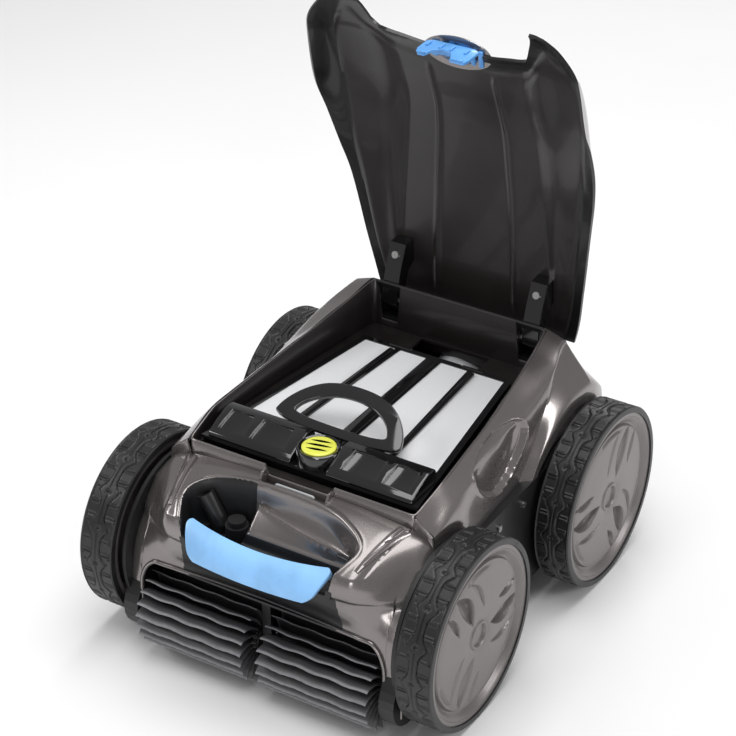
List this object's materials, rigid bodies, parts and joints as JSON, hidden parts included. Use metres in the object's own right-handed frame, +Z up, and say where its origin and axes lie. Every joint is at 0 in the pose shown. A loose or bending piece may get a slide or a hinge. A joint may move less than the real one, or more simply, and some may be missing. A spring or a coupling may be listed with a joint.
{
  "type": "robotic pool cleaner",
  "caption": "Wheeled pool cleaner with its lid open: bronze-grey shell, blue carry handle, rubber tyres, bladed brushes and a lift-out filter under a ribbed screen cover.",
  "frame": {"origin": "on the floor, midway between the front and rear ends and between the outer tyre faces", "axes": "+X to the cleaner's right, +Y towards its rear, +Z up; the front with the carry handle and the brushes faces -Y"},
  "size_m": [0.413, 0.4852, 0.6113],
  "materials": {
    "shell": "warm bronze-grey metallic, glossy",
    "wheel": "warm bronze-grey metallic, satin gloss",
    "tyre": "matte moulded rubber",
    "gear": "matte",
    "brush": "satin flexible blades",
    "dark_plastic": "fine matte",
    "gloss_black": "glossy",
    "inner_plastic": "satin",
    "handle_blue": "satin gloss",
    "latch_blue": "satin gloss",
    "steel": "turned",
    "motor_steel": "satin",
    "board": "satin lacquer",
    "screen": "fine woven mesh",
    "button": "yellow-green, satin",
    "tube_gray": "satin"
  },
  "bodies": {
    "chassis": {"base_tray": "dark_plastic", "body_shell": "shell", "front_hood": "shell", "filter_well": "inner_plastic", "carry_handle": "handle_blue", "cable_gland": "dark_plastic", "gland_cap": "dark_plastic", "hinge_brackets": "inner_plastic", "hinge_pins": "steel", "gearbox_plate_left": "dark_plastic", "gearbox_plate_right": "dark_plastic", "side_cover_left": "dark_plastic", "side_cover_right": "dark_plastic", "wheel_axles": "steel", "idler_pins": "steel", "brush_bridge": "dark_plastic", "motor_block": "dark_plastic", "electronics_cover": "dark_plastic", "control_board": "board", "drive_motors": "motor_steel", "pump_motor": "dark_plastic", "pump_tube": "tube_gray", "outlet_grille": "dark_plastic", "rear_bumper": "dark_plastic", "body_screws": "steel"},
    "lid": {"lid_shell": "shell", "lid_liner": "inner_plastic", "hinge_arm_left": "gloss_black", "hinge_arm_right": "gloss_black", "lid_screws": "steel"},
    "latch": {"lid_latch": "latch_blue"},
    "filter_basket": {"filter_frame": "inner_plastic", "filter_screens": "screen", "filter_base": "inner_plastic"},
    "filter_lid": {"filter_cover": "gloss_black", "cover_screens": "screen", "filter_crossbar": "gloss_black", "filter_handle": "gloss_black"},
    "button": {"release_button": "button"},
    "flap_front": {"inlet_flap_front": "gear"},
    "flap_rear": {"inlet_flap_rear": "gear"},
    "impeller": {"impeller": "gear"},
    "wheel_front_left": {"wheel_front_left": "wheel", "tyre_front_left": "tyre"},
    "idler_front_left": {"idler_front_left": "gear"},
    "wheel_rear_left": {"wheel_rear_left": "wheel", "tyre_rear_left": "tyre"},
    "idler_rear_left": {"idler_rear_left": "gear"},
    "pinion_left": {"pinion_left": "gear"},
    "brush_left": {"brush_core_left": "dark_plastic", "brush_blades_left": "brush"},
    "wheel_front_right": {"wheel_front_right": "wheel", "tyre_front_right": "tyre"},
    "idler_front_right": {"idler_front_right": "gear"},
    "wheel_rear_right": {"wheel_rear_right": "wheel", "tyre_rear_right": "tyre"},
    "idler_rear_right": {"idler_rear_right": "gear"},
    "pinion_right": {"pinion_right": "gear"},
    "brush_right": {"brush_core_right": "dark_plastic", "brush_blades_right": "brush"}
  },
  "joints": [
    {"name": "lid_hinge", "type": "hinge", "parent": "chassis", "child": "lid", "pos_m": [0, 0.178, 0.236], "axis": [-1, 0, 0], "range_deg": [-87, 0]},
    {"name": "latch_press", "type": "slide", "parent": "lid", "child": "latch", "axis": [0, 0.0523, -0.9986], "range_m": [0, 0.003], "stiffness_N_per_m": 800, "springref_m": -0.002},
    {"name": "filter_lift", "type": "slide", "parent": "chassis", "child": "filter_basket", "axis": [0, 0, 1], "range_m": [0, 0.25]},
    {"name": "filter_lid_hinge", "type": "hinge", "parent": "filter_basket", "child": "filter_lid", "pos_m": [0, 0.124, 0.2134], "axis": [-1, 0, 0], "range_deg": [0, 70]},
    {"name": "release_press", "type": "slide", "parent": "filter_lid", "child": "button", "axis": [0, 0, -1], "range_m": [0, 0.003], "stiffness_N_per_m": 500, "springref_m": -0.002},
    {"name": "flap_front_hinge", "type": "hinge", "parent": "filter_basket", "child": "flap_front", "pos_m": [0, -0.0595, 0.0996], "axis": [1, 0, 0], "range_deg": [0, 75]},
    {"name": "flap_rear_hinge", "type": "hinge", "parent": "filter_basket", "child": "flap_rear", "pos_m": [0, -0.0245, 0.0996], "axis": [-1, 0, 0], "range_deg": [0, 75]},
    {"name": "impeller_spin", "type": "hinge", "parent": "chassis", "child": "impeller", "pos_m": [0, 0.2185, 0.18], "axis": [0, 0.8784, 0.4779], "continuous": true},
    {"name": "wheel_front_left_spin", "type": "hinge", "parent": "chassis", "child": "wheel_front_left", "pos_m": [0, -0.1392, 0.1], "axis": [1, 0, 0], "continuous": true},
    {"name": "wheel_rear_left_spin", "type": "hinge", "parent": "chassis", "child": "wheel_rear_left", "pos_m": [0, 0.1392, 0.1], "axis": [1, 0, 0], "continuous": true},
    {"name": "idler_front_left_spin", "type": "hinge", "parent": "chassis", "child": "idler_front_left", "pos_m": [0, -0.056, 0.1], "axis": [1, 0, 0], "continuous": true},
    {"name": "idler_rear_left_spin", "type": "hinge", "parent": "chassis", "child": "idler_rear_left", "pos_m": [0, 0.056, 0.1], "axis": [1, 0, 0], "continuous": true},
    {"name": "pinion_left_spin", "type": "hinge", "parent": "chassis", "child": "pinion_left", "pos_m": [0, 0, 0.1], "axis": [1, 0, 0], "continuous": true},
    {"name": "brush_left_spin", "type": "hinge", "parent": "chassis", "child": "brush_left", "pos_m": [0, -0.19662, 0.049], "axis": [1, 0, 0], "continuous": true},
    {"name": "wheel_front_right_spin", "type": "hinge", "parent": "chassis", "child": "wheel_front_right", "pos_m": [0, -0.1392, 0.1], "axis": [1, 0, 0], "continuous": true},
    {"name": "wheel_rear_right_spin", "type": "hinge", "parent": "chassis", "child": "wheel_rear_right", "pos_m": [0, 0.1392, 0.1], "axis": [1, 0, 0], "continuous": true},
    {"name": "idler_front_right_spin", "type": "hinge", "parent": "chassis", "child": "idler_front_right", "pos_m": [0, -0.056, 0.1], "axis": [1, 0, 0], "continuous": true},
    {"name": "idler_rear_right_spin", "type": "hinge", "parent": "chassis", "child": "idler_rear_right", "pos_m": [0, 0.056, 0.1], "axis": [1, 0, 0], "continuous": true},
    {"name": "pinion_right_spin", "type": "hinge", "parent": "chassis", "child": "pinion_right", "pos_m": [0, 0, 0.1], "axis": [1, 0, 0], "continuous": true},
    {"name": "brush_right_spin", "type": "hinge", "parent": "chassis", "child": "brush_right", "pos_m": [0, -0.19662, 0.049], "axis": [1, 0, 0], "continuous": true}
  ],
  "couplings": [
    {"joint": "idler_front_left_spin", "follows": "wheel_front_left_spin", "ratio": -1.6},
    {"joint": "pinion_left_spin", "follows": "wheel_front_left_spin", "ratio": 2.1333},
    {"joint": "idler_rear_left_spin", "follows": "wheel_front_left_spin", "ratio": -1.6},
    {"joint": "wheel_rear_left_spin", "follows": "wheel_front_left_spin", "ratio": 1},
    {"joint": "brush_left_spin", "follows": "wheel_front_left_spin", "ratio": -2},
    {"joint": "idler_front_right_spin", "follows": "wheel_front_right_spin", "ratio": -1.6},
    {"joint": "pinion_right_spin", "follows": "wheel_front_right_spin", "ratio": 2.1333},
    {"joint": "idler_rear_right_spin", "follows": "wheel_front_right_spin", "ratio": -1.6},
    {"joint": "wheel_rear_right_spin", "follows": "wheel_front_right_spin", "ratio": 1},
    {"joint": "brush_right_spin", "follows": "wheel_front_right_spin", "ratio": -2}
  ]
}
